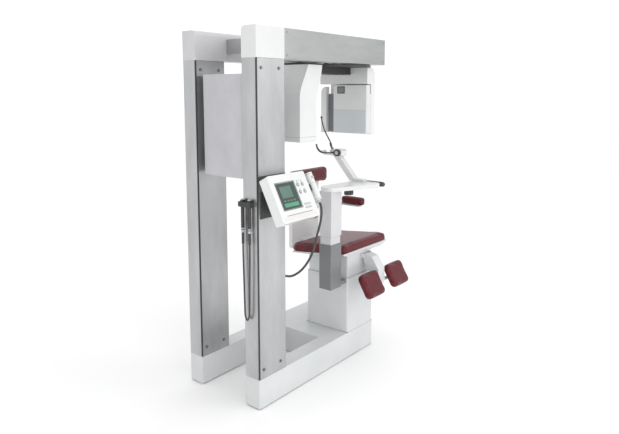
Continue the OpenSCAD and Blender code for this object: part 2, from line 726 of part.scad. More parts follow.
// Jaw support: hub on the block's pin, arm and upturned hook
module jaw(s) {
    px = hx + s * jaw_x;
    ox = hx + s * jaw_span / 2;
    z = arm_top_z + 16 + seam;
    color([0.25, 0.25, 0.26]) difference() {
        union() {
            zcyl(px, jaw_y, z, 9, 10);
            hull() {
                zcyl(px + s * 4, jaw_y + 4, z, 5, 8);
                zcyl(ox, -14, z, 5, 8);
            }
            yz_slab(ox - 3, 6, [[-19, z], [8, z + 2], [30, z + 12], [46, z + 32], [52, z + 56],
                [44, z + 58], [37, z + 36], [22, z + 20], [4, z + 10], [-19, z + 8]]);
        }
        zcyl(px, jaw_y, z - 1, 4 + run_fit, 12);
    }
}
module forehead_rod() {
    color([0.25, 0.25, 0.26]) {
        difference() {
            union() {
                xcyl(hx - 6.5, rod_y, rod_z, 8, 13);
                cord([[hx, rod_y, rod_z + 5], [hx, -18, 1332], [hx, 4, 1368], [hx, 32, 1410],
                    [hx, 52, 1455], [hx, 64, 1500]], 2, rod_d, 12, [1, 0, 0]);
            }
            xcyl(hx - 8, rod_y, rod_z, 3 + run_fit, 16);
        }
        translate([hx, 64, 1506]) sphere(7);
    }
}

// ---- console ----
// Face frame: origin at the lower left corner of the face, x to the right,
// y up the face, z out of the face
module face() {
    translate([con_x, con_y, con_z]) rotate([90 - con_tilt, 0, 0]) translate([0, -con_h, 0])
        children();
}
module console_body() {
    color([0.9, 0.91, 0.9]) face() difference() {
        translate([0, 0, -con_t]) linear_extrude(height = con_t) rrect(con_w, con_h, 10);
        translate([38, con_h - 47 - scr_w, -3]) cube([scr_w, scr_w, 4]);
        for (i = [0:3]) translate([key_x(i), key_y(i), -8]) cylinder(r = key_d / 2 + 0.4, h = 9);
        translate([con_w / 2 - 50, pivot_v - 16, -con_t - 1]) cube([100, 32, 21]);
    }
    color([0.5, 0.5, 0.5]) face() translate([con_w / 2 - 50, pivot_v, -con_t + 4])
        rotate([0, 90, 0]) cylinder(r = 5, h = 100);
}
function key_x(i) = 205 + 36 * (i % 2);
function key_y(i) = con_h - 70 - 40 * floor(i / 2);
module screen() {
    color([0.2, 0.42, 0.33]) face() translate([38.5, con_h - 46.5 - scr_w, -3])
        cube([scr_w - 1, scr_w - 1, 2.5]);
}
module key(i) {
    color([0.8, 0.82, 0.82]) face() translate([key_x(i), key_y(i), -5])
        cylinder(r = key_d / 2, h = 5 + key_up);
}
module console_bracket() {
    pv = [con_y - con_h * sin(con_tilt) + pivot_v * sin(con_tilt) + (con_t - 4) * cos(con_tilt),
        con_z - con_h * cos(con_tilt) + pivot_v * cos(con_tilt) - (con_t - 4) * sin(con_tilt)];
    color([0.28, 0.29, 0.3]) {
        box([x0 + 20, -yo - 4, pv.y - 70], [x0 + col_w - 10, -yo, pv.y + 70]);
        difference() {
            yz_slab(x0 + con_w / 2 - 40, 80, [[-yo - 4, pv.y - 60], [-yo - 4, pv.y + 50],
                [pv.x + 24, pv.y + 14], [pv.x + 4, pv.y + 10], [pv.x - 6, pv.y + 6],
                [pv.x - 9, pv.y - 4], [pv.x - 2, pv.y - 10], [pv.x + 10, pv.y - 14]]);
            xcyl(x0 + con_w / 2 - 60, pv.x, pv.y, 5 + run_fit, 120);
        }
    }
    color([0.8, 0.8, 0.8]) {
        box([x0 + con_w / 2, -yo - 46, pv.y + 25], [x0 + hs_u + 12, -yo - 6, pv.y + 49]);
        face() difference() {
            translate([hs_u - hand_d / 2 - 6, con_h - 112, -con_t - 18]) cube([hand_d + 12, 34, 50 + 18]);
            translate([hs_u, con_h - 180, hs_w]) rotate([-90, 0, 0]) cylinder(r = hand_d / 2 + 0.3, h = 200);
            translate([hs_u - 12, con_h - 180, hs_w]) cube([24, 200, 60]);
        }
    }
}
module handset() {
    color([0.93, 0.93, 0.92]) face() difference() {
        translate([hs_u, con_h - 15, hs_w]) rotate([90, 0, 0]) union() {
            cylinder(r = hand_d / 2, h = hand_l);
            translate([0, 0, hand_l]) cylinder(r1 = 10, r2 = 7, h = 16);
        }
        translate([hs_u, con_h - 45, hs_w + 5]) cylinder(r = 8.3, h = 40);
    }
}
module handset_button() {
    color([0.6, 0.62, 0.62]) face() translate([hs_u, con_h - 45, hs_w + 9])
        cylinder(r = 8, h = 13);
}
module handset_cord() { color([0.25, 0.26, 0.27]) cord(handset_route, 3, hand_cord_d, 10, [1, 0, 0]); }

// ---- hand switches ----
module switch_holder() {
    color([0.25, 0.25, 0.26]) difference() {
        box([x0 - 30, -252, 1090], [x0, -166, 1116]);
        for (y = [-185, -233]) zcyl(-1006, y, 1080, 9.3, 50);
    }
    color([0.25, 0.25, 0.26]) xcyl(x0 + col_w, -225, 685, 10, 12);
}
module hand_switches() {
    color([0.2, 0.2, 0.21]) for (y = [-185, -233]) {
        zcyl(-1006, y, 985, 9, 135);
        zcyl(-1006, y, 1116 + seam, 12, 8);
        zcyl(-1006, y, 896, 7, 89);
    }
}
module switch_cord() { color([0.2, 0.2, 0.21]) cord(switch_route, 3, switch_cord_d, 8, [1, 0, 0]); }

column(-yo);  // column_front
column(yi);  // column_rear
column_bolts();
base_beams();
feet();
top_end_block();
top_beam_front();
fascia();
top_beam_rear();
rail_set();
cabinet_box();
cabinet_cover();
x_carriage();
y_carriage();
drive_roller();
spindle();
turntable();
tube_cover();
receptor_frame();
cassette_box();
pedestal();
seat_base();
seat_cushion();
back_support();
back_carrier();
back_pad();
armrest_frame(-1);  // armrest_frame_l
armrest_frame(1);  // armrest_frame_r
armrest_pad(-1);  // armrest_pad_l
armrest_pad(1);  // armrest_pad_r
leg_arm();
leg_mount(-1);  // leg_mount_l
leg_mount(1);  // leg_mount_r
leg_pad(-1);  // leg_pad_l
leg_pad(1);  // leg_pad_r
post_sleeve();
post_inner();
tray();
hand_grip();
tray_knob();
chin_arm();
head_block();
block_knob();
chin_rest();
jaw(-1);  // jaw_l
jaw(1);  // jaw_r
forehead_rod();
console_bracket();
console_body();
screen();
key(0);  // key_1
key(1);  // key_2
key(2);  // key_3
key(3);  // key_4
handset();
handset_button();
handset_cord();
switch_holder();
hand_switches();
switch_cord();
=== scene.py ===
"""Looks of a seated panoramic x-ray machine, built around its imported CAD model.

All sizes are in metres, in the model's own frame: +X from the columns to the chair,
-Y the way the patient faces, +Z up, origin on the floor in the chair's mid-plane.
"""
import json
import math

import bmesh
import bpy
from mathutils import Matrix, Vector


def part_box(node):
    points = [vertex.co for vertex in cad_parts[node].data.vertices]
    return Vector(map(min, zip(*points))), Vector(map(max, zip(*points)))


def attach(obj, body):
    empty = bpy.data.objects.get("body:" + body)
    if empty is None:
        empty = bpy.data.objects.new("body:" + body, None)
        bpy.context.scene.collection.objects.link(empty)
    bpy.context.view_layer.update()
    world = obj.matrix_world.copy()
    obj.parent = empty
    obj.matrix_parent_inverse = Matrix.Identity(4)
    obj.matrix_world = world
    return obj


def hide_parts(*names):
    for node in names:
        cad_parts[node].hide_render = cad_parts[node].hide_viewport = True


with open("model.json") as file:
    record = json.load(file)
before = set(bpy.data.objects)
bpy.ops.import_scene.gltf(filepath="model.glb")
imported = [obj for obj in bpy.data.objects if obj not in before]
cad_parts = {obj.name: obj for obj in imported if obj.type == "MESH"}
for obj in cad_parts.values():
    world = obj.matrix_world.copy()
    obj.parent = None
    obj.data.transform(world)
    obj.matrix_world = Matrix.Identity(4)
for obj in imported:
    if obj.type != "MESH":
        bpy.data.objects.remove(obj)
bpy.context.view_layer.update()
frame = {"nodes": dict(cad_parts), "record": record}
NODES = frame["nodes"]
MM = 0.001

# Places and slopes that the looks share with the design
COLUMN_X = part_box("column_front")[0].x
SEAT_TILT = math.radians(6.4)
CHAIR_X = 0.008
SEAT_SIZE = (0.508, 0.426, 0.048)
SEAT_CORNER = Vector((CHAIR_X, -0.280, 0.732))
LEG_TILT = math.radians(60)
CONSOLE_TILT = math.radians(27.4)
CONSOLE_H = 0.253
CONSOLE_TOP = (-0.338, 1.256)          # Y and Z of the top edge of the console's face
HANDSET_U, HANDSET_W = 0.333, -0.010   # the handset's axis, across and out of that face
SCREEN_SIDE = 0.140
SCREEN_X, SCREEN_Y = 0.038, 0.066
LEG_BAR = (0.146, -0.382, 0.476)       # a leg pad's pivot: half span, Y and Z
LEG_PAD = (0.190, 0.158, 0.045)
LEG_PAD_GAP = 0.022
TUBE_FACE_X = -0.435                   # the tube head's face towards the patient
JAW_KNOB_Y, JAW_KNOB_Z = -0.092, 1.284
SWITCH_X = -1.006
SWITCH_Y = {"front": -0.233, "rear": -0.185}


# ---- camera -----------------------------------------------------------------
def make_camera():
    yaw, pitch = 0.6757, 0.1267
    data = bpy.data.cameras.new("camera")
    data.sensor_width = 36
    data.lens = 34.41
    data.shift_y = -0.0808
    data.clip_start, data.clip_end = 0.05, 60
    cam = bpy.data.objects.new("camera", data)
    cam.location = (-3.1193, -2.3191, 1.6738)
    forward = Vector((math.cos(yaw) * math.cos(pitch), math.sin(yaw) * math.cos(pitch),
                      -math.sin(pitch)))
    cam.rotation_mode = "QUATERNION"
    cam.rotation_quaternion = forward.to_track_quat("-Z", "Y")
    bpy.context.scene.collection.objects.link(cam)
    bpy.context.scene.camera = cam


# ---- materials ----------------------------------------------------------------
def shader(name):
    """A new material with its Principled shader and a short way to add nodes to it."""
    mat = bpy.data.materials.new(name)
    mat.use_nodes = True
    tree = mat.node_tree
    bsdf = tree.nodes["Principled BSDF"]

    def add(kind, **values):
        node = tree.nodes.new(kind)
        for key, value in values.items():
            if key in node.inputs:
                node.inputs[key].default_value = value
            else:
                setattr(node, key, value)
        return node
    return mat, tree, bsdf, add


def coords(tree, add, scale):
    """Object coordinates, stretched by scale along X, Y and Z."""
    place = add("ShaderNodeTexCoord")
    mapping = add("ShaderNodeMapping")
    mapping.inputs["Scale"].default_value = scale
    tree.links.new(place.outputs["Object"], mapping.inputs["Vector"])
    return mapping.outputs["Vector"]


def ramp(tree, add, source, stops):
    """Colour ramp over a 0 to 1 source; stops are (place, colour)."""
    node = add("ShaderNodeValToRGB")
    elements = node.color_ramp.elements
    while len(elements) < len(stops):
        elements.new(0.5)
    for element, (place, colour) in zip(elements, stops):
        element.position = place
        element.color = (*colour, 1)
    tree.links.new(source, node.inputs["Fac"])
    return node.outputs["Color"]


def grey_range(tree, add, source, low, high):
    node = add("ShaderNodeMapRange")
    node.inputs["To Min"].default_value = low
    node.inputs["To Max"].default_value = high
    tree.links.new(source, node.inputs["Value"])
    return node.outputs["Result"]


def finish_material(name, dark, light, rough, grain=900, depth=0.02, metallic=0.0, coat=0.0,
                    stretch=(1, 1, 1), mottle=6, spread=0.08, ior=1.5):
    """Paint, moulded plastic or metal: a fine grain in the surface, a slow change of colour,
    and a gloss that varies from place to place. stretch pulls the grain into brush lines."""
    mat, tree, bsdf, add = shader(name)
    bsdf.inputs["Metallic"].default_value = metallic
    bsdf.inputs["IOR"].default_value = ior
    bsdf.inputs["Coat Weight"].default_value = coat
    bsdf.inputs["Coat Roughness"].default_value = 0.12
    fine = add("ShaderNodeTexNoise", Scale=grain, Detail=3.0, Roughness=0.6)
    tree.links.new(coords(tree, add, stretch), fine.inputs["Vector"])
    slow = add("ShaderNodeTexNoise", Scale=mottle, Detail=5.0, Roughness=0.62)
    tree.links.new(coords(tree, add, tuple(0.25 + 0.75 * s for s in stretch)),
                   slow.inputs["Vector"])
    both = add("ShaderNodeMix", data_type="FLOAT")
    both.inputs[0].default_value = 0.35
    tree.links.new(slow.outputs["Fac"], both.inputs[2])
    tree.links.new(fine.outputs["Fac"], both.inputs[3])
    tree.links.new(ramp(tree, add, both.outputs[0], [(0.3, dark), (0.7, light)]),
                   bsdf.inputs["Base Color"])
    tree.links.new(grey_range(tree, add, both.outputs[0], rough - spread, rough + spread),
                   bsdf.inputs["Roughness"])
    bump = add("ShaderNodeBump", Strength=0.35, Distance=depth * MM)
    tree.links.new(fine.outputs["Fac"], bump.inputs["Height"])
    tree.links.new(bump.outputs["Normal"], bsdf.inputs["Normal"])
    return mat


def leather_material():
    """Glossy red upholstery leather: pebble grain, fine pores and creases, with painted shade in
    the grain's grooves and in the low parts of the creases, and painted light on the creases'
    raised parts.
    """
    mat, tree, bsdf, add = shader("red_leather")
    bsdf.inputs["Coat Weight"].default_value = 0.12
    bsdf.inputs["Coat Roughness"].default_value = 0.2
    bsdf.inputs["Specular IOR Level"].default_value = 0.28
    place = coords(tree, add, (1, 1, 1))
    warp = add("ShaderNodeTexNoise", Scale=90.0, Detail=2.0)
    tree.links.new(place, warp.inputs["Vector"])
    mixed = add("ShaderNodeMix", data_type="VECTOR")
    mixed.inputs[0].default_value = 0.03
    tree.links.new(place, mixed.inputs[4])
    tree.links.new(warp.outputs["Color"], mixed.inputs[5])
    pebble = add("ShaderNodeTexVoronoi", Scale=420.0, feature="DISTANCE_TO_EDGE")
    tree.links.new(mixed.outputs[1], pebble.inputs["Vector"])
    pores = add("ShaderNodeTexNoise", Scale=1500.0, Detail=2.0)
    tree.links.new(place, pores.inputs["Vector"])
    creases = add("ShaderNodeTexNoise", Scale=16.0, Detail=6.0, Roughness=0.7, Distortion=1.2)
    tree.links.new(place, creases.inputs["Vector"])
    groove = grey_range(tree, add, pebble.outputs["Distance"], 0.0, 1.0)
    groove.node.inputs["From Max"].default_value = 0.22
    # Painted shade and light: the colour darkens in the low parts of the creases and lightens on
    # their raised parts
    colour = ramp(tree, add, creases.outputs["Fac"],
                  [(0.3, (0.070, 0.0015, 0.006)), (0.5, (0.105, 0.0025, 0.009)),
                   (0.72, (0.145, 0.005, 0.014))])
    # Painted shade: the grain's grooves are darkened
    shade = add("ShaderNodeMix", data_type="RGBA", blend_type="MULTIPLY")
    shade.inputs[0].default_value = 0.5
    tree.links.new(colour, shade.inputs[6])
    tree.links.new(ramp(tree, add, groove, [(0.0, (0.45, 0.4, 0.4)), (0.5, (1, 1, 1))]),
                   shade.inputs[7])
    tree.links.new(shade.outputs[2], bsdf.inputs["Base Color"])
    tree.links.new(grey_range(tree, add, creases.outputs["Fac"], 0.26, 0.44),
                   bsdf.inputs["Roughness"])
    height = add("ShaderNodeMath", operation="ADD")
    tree.links.new(groove, height.inputs[0])
    tree.links.new(pores.outputs["Fac"], height.inputs[1])
    bump = add("ShaderNodeBump", Strength=0.35, Distance=0.15 * MM)
    tree.links.new(height.outputs[0], bump.inputs["Height"])
    folds = add("ShaderNodeBump", Strength=0.3, Distance=1.2 * MM)
    tree.links.new(creases.outputs["Fac"], folds.inputs["Height"])
    tree.links.new(bump.outputs["Normal"], folds.inputs["Normal"])
    tree.links.new(folds.outputs["Normal"], bsdf.inputs["Normal"])
    return mat


def display_material(name, dark, light, glow):
    """Liquid-crystal panel: faint cell grid and a weak light of its own."""
    mat, tree, bsdf, add = shader(name)
    bsdf.inputs["Roughness"].default_value = 0.14
    bsdf.inputs["Coat Weight"].default_value = 0.6
    bsdf.inputs["Coat Roughness"].default_value = 0.05
    bsdf.inputs["Emission Strength"].default_value = glow
    place = coords(tree, add, (1, 1, 1))
    cells = add("ShaderNodeTexVoronoi", Scale=900.0, distance="CHEBYCHEV", Randomness=0.0)
    tree.links.new(place, cells.inputs["Vector"])
    slow = add("ShaderNodeTexNoise", Scale=14.0, Detail=2.0)
    tree.links.new(place, slow.inputs["Vector"])
    mixed = add("ShaderNodeMix", data_type="FLOAT")
    mixed.inputs[0].default_value = 0.25
    tree.links.new(slow.outputs["Fac"], mixed.inputs[2])
    tree.links.new(cells.outputs["Distance"], mixed.inputs[3])
    colour = ramp(tree, add, mixed.outputs[0], [(0.25, dark), (0.75, light)])
    tree.links.new(colour, bsdf.inputs["Base Color"])
    tree.links.new(colour, bsdf.inputs["Emission Color"])
    return mat


def grey(value):
    return (value, value, value)


def make_materials():
    f = finish_material
    return {
        "brushed_column": f("brushed_column", (0.40, 0.405, 0.415), (0.56, 0.565, 0.575), 0.36,
                            grain=2600, depth=0.012, metallic=0.9, stretch=(1, 1, 0.012),
                            mottle=9, spread=0.07),
        "bolt_steel": f("bolt_steel", grey(0.16), grey(0.34), 0.34, grain=1500, metallic=1.0),
        "base_paint": f("base_paint", (0.54, 0.555, 0.56), (0.62, 0.63, 0.635), 0.38, grain=700,
                        depth=0.05, coat=0.25),
        "foot_rubber": f("foot_rubber", grey(0.015), grey(0.035), 0.72, grain=1200, depth=0.08),
        "white_cover": f("white_cover", (0.64, 0.65, 0.65), (0.72, 0.725, 0.72), 0.34,
                         grain=1300, depth=0.03, coat=0.3),
        "grey_paint": f("grey_paint", (0.50, 0.50, 0.515), (0.60, 0.60, 0.61), 0.36, grain=700,
                        depth=0.05, coat=0.2),
        "anodised": f("anodised", (0.33, 0.34, 0.34), (0.45, 0.455, 0.455), 0.36, grain=2400,
                      depth=0.01, metallic=0.85, stretch=(0.012, 1, 1), mottle=10),
        "rail_steel": f("rail_steel", grey(0.42), grey(0.6), 0.2, grain=1800, depth=0.006,
                        metallic=1.0, stretch=(0.05, 1, 1)),
        "cabinet_paint": f("cabinet_paint", (0.40, 0.40, 0.425), (0.50, 0.50, 0.52), 0.4,
                           grain=800, depth=0.05, coat=0.1),
        "carriage_grey": f("carriage_grey", grey(0.08), grey(0.14), 0.5, grain=900, depth=0.05,
                           metallic=0.5),
        "turntable_dark": f("turntable_dark", grey(0.035), grey(0.06), 0.45, grain=800,
                            depth=0.06, metallic=0.3),
        "cassette_grey": f("cassette_grey", (0.60, 0.61, 0.61), (0.68, 0.69, 0.69), 0.32,
                           grain=1500, depth=0.03, coat=0.2),
        "cassette_blue": f("cassette_blue", (0.49, 0.53, 0.55), (0.55, 0.59, 0.61), 0.3,
                           grain=1500, depth=0.03, coat=0.2),
        "chair_metal": f("chair_metal", (0.55, 0.56, 0.57), (0.66, 0.67, 0.67), 0.34, grain=700,
                         depth=0.05, coat=0.25),
        "dark_plastic": f("dark_plastic", grey(0.022), grey(0.045), 0.46, grain=1300,
                          depth=0.07),
        "grip_rubber": f("grip_rubber", grey(0.05), grey(0.085), 0.6, grain=1500, depth=0.1),
        "sleeve_paint": f("sleeve_paint", (0.14, 0.145, 0.15), (0.20, 0.205, 0.21), 0.4,
                          grain=700, depth=0.05, coat=0.15),
        "dark_metal": f("dark_metal", grey(0.03), grey(0.055), 0.42, grain=900, depth=0.05),
        "console_white": f("console_white", (0.66, 0.68, 0.665), (0.73, 0.75, 0.735), 0.3,
                           grain=1500, depth=0.03, coat=0.35),
        "console_band": f("console_band", (0.66, 0.61, 0.62), (0.73, 0.68, 0.69), 0.34,
                          grain=1500, depth=0.03),
        "key_grey": f("key_grey", (0.40, 0.42, 0.42), (0.50, 0.52, 0.52), 0.5, grain=1600,
                      depth=0.06),
        "mark_grey": f("mark_grey", (0.16, 0.17, 0.18), (0.22, 0.23, 0.24), 0.5, grain=1600),
        "cord_rubber": f("cord_rubber", grey(0.035), grey(0.06), 0.5, grain=1400, depth=0.06),
        "thread": f("thread", (0.16, 0.02, 0.03), (0.22, 0.03, 0.045), 0.65, grain=2500,
                    depth=0.08),
        "lcd": display_material("lcd", (0.006, 0.022, 0.015), (0.012, 0.038, 0.026), 0.3),
        "lcd_field": display_material("lcd_field", (0.045, 0.10, 0.078), (0.07, 0.14, 0.11), 0.4),
        "lcd_band": display_material("lcd_band", (0.03, 0.17, 0.095), (0.05, 0.24, 0.14), 0.5),
        "red_leather": leather_material(),
    }


# ---- mesh building ------------------------------------------------------------
def new_object(name, bm, mat, smooth=True):
    mesh = bpy.data.meshes.new(name)
    bm.to_mesh(mesh)
    bm.free()
    obj = bpy.data.objects.new(name, mesh)
    bpy.context.scene.collection.objects.link(obj)
    mesh.materials.append(mat)
    if smooth:
        mesh.polygons.foreach_set("use_smooth", [True] * len(mesh.polygons))
    return obj


def fit(obj, body):
    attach(obj, body)
    return obj


def block(name, low, high, mat, place=None, bevel=0.6 * MM, segments=3):
    """Box with rounded edges between two corners, moved by the matrix place."""
    bm = bmesh.new()
    bmesh.ops.create_cube(bm, size=1)
    low, high = Vector(low), Vector(high)
    for v in bm.verts:
        v.co = low + Vector((v.co[i] + 0.5) * (high - low)[i] for i in range(3))
    bmesh.ops.bevel(bm, geom=bm.edges[:], offset=bevel, segments=segments, profile=0.5,
                    affect="EDGES")
    if place:
        bm.transform(place)
    return new_object(name, bm, mat, smooth=False)


def outline(w, l, r, steps=6):
    """Rounded rectangle, centred on the origin, as a list of points."""
    points = []
    for k, (cx, cy) in enumerate([(w / 2 - r, l / 2 - r), (r - w / 2, l / 2 - r),
                                  (r - w / 2, r - l / 2), (w / 2 - r, r - l / 2)]):
        for i in range(steps + 1):
            a = math.pi / 2 * (k + i / steps)
            points.append(Vector((cx + r * math.cos(a), cy + r * math.sin(a), 0)))
    return points


def plate(name, points, thick, mat, place, edge=0.3 * MM):
    """Flat plate with the outline points, from z 0 to thick, with its top edge rounded off."""
    bm = bmesh.new()
    centre = sum(points, Vector()) / len(points)
    rings = []
    for inset, z in [(0, 0), (0, thick - edge), (0.3 * edge, thick - 0.3 * edge), (edge, thick)]:
        rings.append([bm.verts.new((p + (centre - p).normalized() * inset).xy.to_3d()
                                   + Vector((0, 0, z))) for p in points])
    n = len(points)
    for a, b in zip(rings, rings[1:]):
        for i in range(n):
            bm.faces.new((a[i], a[(i + 1) % n], b[(i + 1) % n], b[i]))
    bm.faces.new(rings[-1])
    bm.faces.new(rings[0][::-1])
    bm.transform(place)
    return new_object(name, bm, mat, smooth=False)


def lathe(name, profile, mat, place, steps=40):
    """Solid of revolution about Z; profile holds (radius, z) from the bottom to the top."""
    bm = bmesh.new()
    rings = [[bm.verts.new((r * math.cos(2 * math.pi * i / steps),
                            r * math.sin(2 * math.pi * i / steps), z)) for i in range(steps)]
             for r, z in profile]
    for a, b in zip(rings, rings[1:]):
        for i in range(steps):
            bm.faces.new((a[i], a[(i + 1) % steps], b[(i + 1) % steps], b[i]))
    bm.faces.new(rings[-1])
    bm.faces.new(rings[0][::-1])
    bm.transform(place)
    return new_object(name, bm, mat)


def tube(name, points, radius, mat, sides):
    """Round tube along points, closed at both ends."""
    bm = bmesh.new()
    rings = []
    for i, p in enumerate(points):
        before = points[i - 1] if i else p
        after = points[i + 1] if i < len(points) - 1 else p
        t = (after - before).normalized()
        u = t.cross(Vector((1, 0, 0)) if abs(t.x) < 0.9 else Vector((0, 1, 0))).normalized()
        w = t.cross(u)
        rings.append([bm.verts.new(p + radius * (math.cos(a) * u + math.sin(a) * w))
                      for a in (2 * math.pi * k / sides for k in range(sides))])
    for a, b in zip(rings, rings[1:]):
        for k in range(sides):
            bm.faces.new((a[k], a[(k + 1) % sides], b[(k + 1) % sides], b[k]))
    bm.faces.new(rings[-1])
    bm.faces.new(rings[0][::-1])
    bmesh.ops.recalc_face_normals(bm, faces=bm.faces)
    return new_object(name, bm, mat)


def curve_points(route, steps):
    """Smooth curve through a route's points, as the cords' solids follow it."""
    k = len(route) - 1
    out = []
    for i in range(k):
        a, b = route[max(i - 1, 0)], route[i]
        c, d = route[i + 1], route[min(i + 2, k)]
        for j in range(steps):
            t = j / steps
            out.append(0.5 * (2 * b + (c - a) * t + (2 * a - 5 * b + 4 * c - d) * t * t
                              + (3 * b - a - 3 * c + d) * t ** 3))
    return out + [route[-1]]


# ---- cords ----------------------------------------------------------------------
HANDSET_ROUTE = [
    (-657, -415, 1086), (-656, -424, 1065), (-650, -422, 1020), (-638, -402, 960),
    (-624, -368, 880), (-618, -342, 804), (-628, -312, 736), (-656, -284, 686),
    (-696, -256, 660), (-732, -236, 664), (-754, -226, 677), (-765, -225, 685)]
SWITCH_ROUTE = [
    (-1006, -185, 896), (-1006, -185, 850), (-1006, -187, 760), (-1006, -190, 650),
    (-1006, -192, 560), (-1006, -195, 510), (-1006, -208, 488), (-1006, -222, 510),
    (-1006, -226, 560), (-1006, -228, 650), (-1006, -231, 760), (-1006, -233, 850),
    (-1006, -233, 896)]


def cord(name, node, route, diameter, mat):
    points = curve_points([Vector(p) * MM for p in route], 8)
    obj = tube(name, points, diameter / 2, mat, sides=16)
    fit(obj, "gantry")
    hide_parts(node)
    return obj


# ---- upholstery -----------------------------------------------------------------
CLOTH_PRESSURE = 4.0
CLOTH_FRAMES = 20
SKIN = 3 * MM             # how much smaller a pad's blank is than the CAD block
SEAM_DEPTH = 1.3 * MM
SEAM_HALF_WIDTH = 4.5 * MM
STITCH_LIFT = 0.15 * MM
WAIST_DROP = 0.12         # the side seam's height below the middle, as a share of thickness


def superblock(name, w, l, t, r, mat):
    """Closed pad blank centred on the origin, its corners rounded with radius r."""
    bm = bmesh.new()
    bmesh.ops.create_cube(bm, size=1)
    for v in bm.verts:
        v.co = Vector((v.co.x * w, v.co.y * l, v.co.z * t))
    upright = [e for e in bm.edges if abs(e.verts[0].co.z - e.verts[1].co.z) > t / 2]
    bmesh.ops.bevel(bm, geom=upright, offset=r, segments=6, profile=0.5, affect="EDGES")
    rims = [e for e in bm.edges if abs(e.verts[0].co.z - e.verts[1].co.z) < 1e-6
            and len(e.link_faces) == 2 and e.calc_face_angle(0) > 1.2]
    bmesh.ops.bevel(bm, geom=rims, offset=0.28 * t, segments=4, profile=0.5, affect="EDGES")
    return new_object(name, bm, mat)


def apply_modifiers(obj):
    graph = bpy.context.evaluated_depsgraph_get()
    mesh = bpy.data.meshes.new_from_object(obj.evaluated_get(graph))
    old = obj.data
    obj.modifiers.clear()
    obj.data = mesh
    bpy.data.meshes.remove(old)


def inflate(obj, voxel, cap, half_t):
    """Remesh a blank and blow it up as cloth, with the base held and no point moving past cap."""
    remesh = obj.modifiers.new("remesh", "REMESH")
    remesh.mode = "VOXEL"
    remesh.voxel_size = voxel
    apply_modifiers(obj)
    rest = [v.co.copy() for v in obj.data.vertices]
    held = obj.vertex_groups.new(name="held")
    held.add([i for i, p in enumerate(rest) if p.z < -half_t * 0.8], 1.0, "REPLACE")
    cloth = obj.modifiers.new("cloth", "CLOTH")
    cloth.settings.quality = 4
    cloth.settings.mass = 0.3
    cloth.settings.tension_stiffness = 12
    cloth.settings.compression_stiffness = 12
    cloth.settings.bending_stiffness = 0.6
    cloth.settings.use_pressure = True
    cloth.settings.uniform_pressure_force = CLOTH_PRESSURE
    cloth.settings.vertex_group_mass = "held"
    cloth.settings.effector_weights.gravity = 0
    cloth.collision_settings.use_collision = False
    cloth.point_cache.frame_start, cloth.point_cache.frame_end = 1, CLOTH_FRAMES
    scene = bpy.context.scene
    for number in range(1, CLOTH_FRAMES + 1):
        scene.frame_set(number)
    graph = bpy.context.evaluated_depsgraph_get()
    moved = [v.co.copy() for v in obj.evaluated_get(graph).data.vertices]
    obj.modifiers.clear()
    scene.frame_set(1)
    for v, p, q in zip(obj.data.vertices, rest, moved):
        step = q - p
        v.co = p + step * min(1.0, cap / max(step.length, 1e-9))
    obj.vertex_groups.clear()


def sew(obj, seams, depth, width):
    """Press seams into a pad: each is a function that gives the distance of a point to it."""
    obj.data.update()
    normals = [v.normal.copy() for v in obj.data.vertices]
    for v, normal in zip(obj.data.vertices, normals):
        near = min(abs(seam(v.co)) for seam in seams)
        if near < width:
            v.co -= normal * depth * (0.5 + 0.5 * math.cos(math.pi * near / width))


def rim_distance(w, l, r):
    """Distance in plan from a rounded rectangle, counted only on the pad's upper half."""
    def distance(p):
        if p.z < 0:
            return 1.0
        dx, dy = abs(p.x) - (w / 2 - r), abs(p.y) - (l / 2 - r)
        return (Vector((max(dx, 0), max(dy, 0))).length + min(max(dx, dy), 0)) - r
    return distance


def wrap(obj, points, lift):
    """Points laid on a pad's top surface, lifted off it."""
    obj.data.update()
    out = []
    for p in points:
        hit, place, normal, _ = obj.ray_cast(Vector((p.x, p.y, 0.5)), Vector((0, 0, -1)))
        out.append((place + normal * lift) if hit else p)
    return out


def stitches(name, path, mat, gap=7.0 * MM, size=4.2 * MM):
    """Row of sewn stitches along a closed path on a pad."""
    bm = bmesh.new()
    closed = path + [path[0]]
    left = 0.0
    for a, b in zip(closed, closed[1:]):
        run = (b - a).length
        while left < run and run > 0:
            centre = a.lerp(b, left / run)
            turn = (b - a).normalized().to_track_quat("X", "Z").to_matrix().to_4x4()
            made = bmesh.ops.create_icosphere(bm, subdivisions=1, radius=1)
            bmesh.ops.transform(bm, verts=made["verts"], matrix=Matrix.Translation(centre)
                                @ turn @ Matrix.Diagonal((size / 2, 0.5 * MM, 0.45 * MM, 1)))
            left += gap
        left -= run
    return new_object(name, bm, mat)


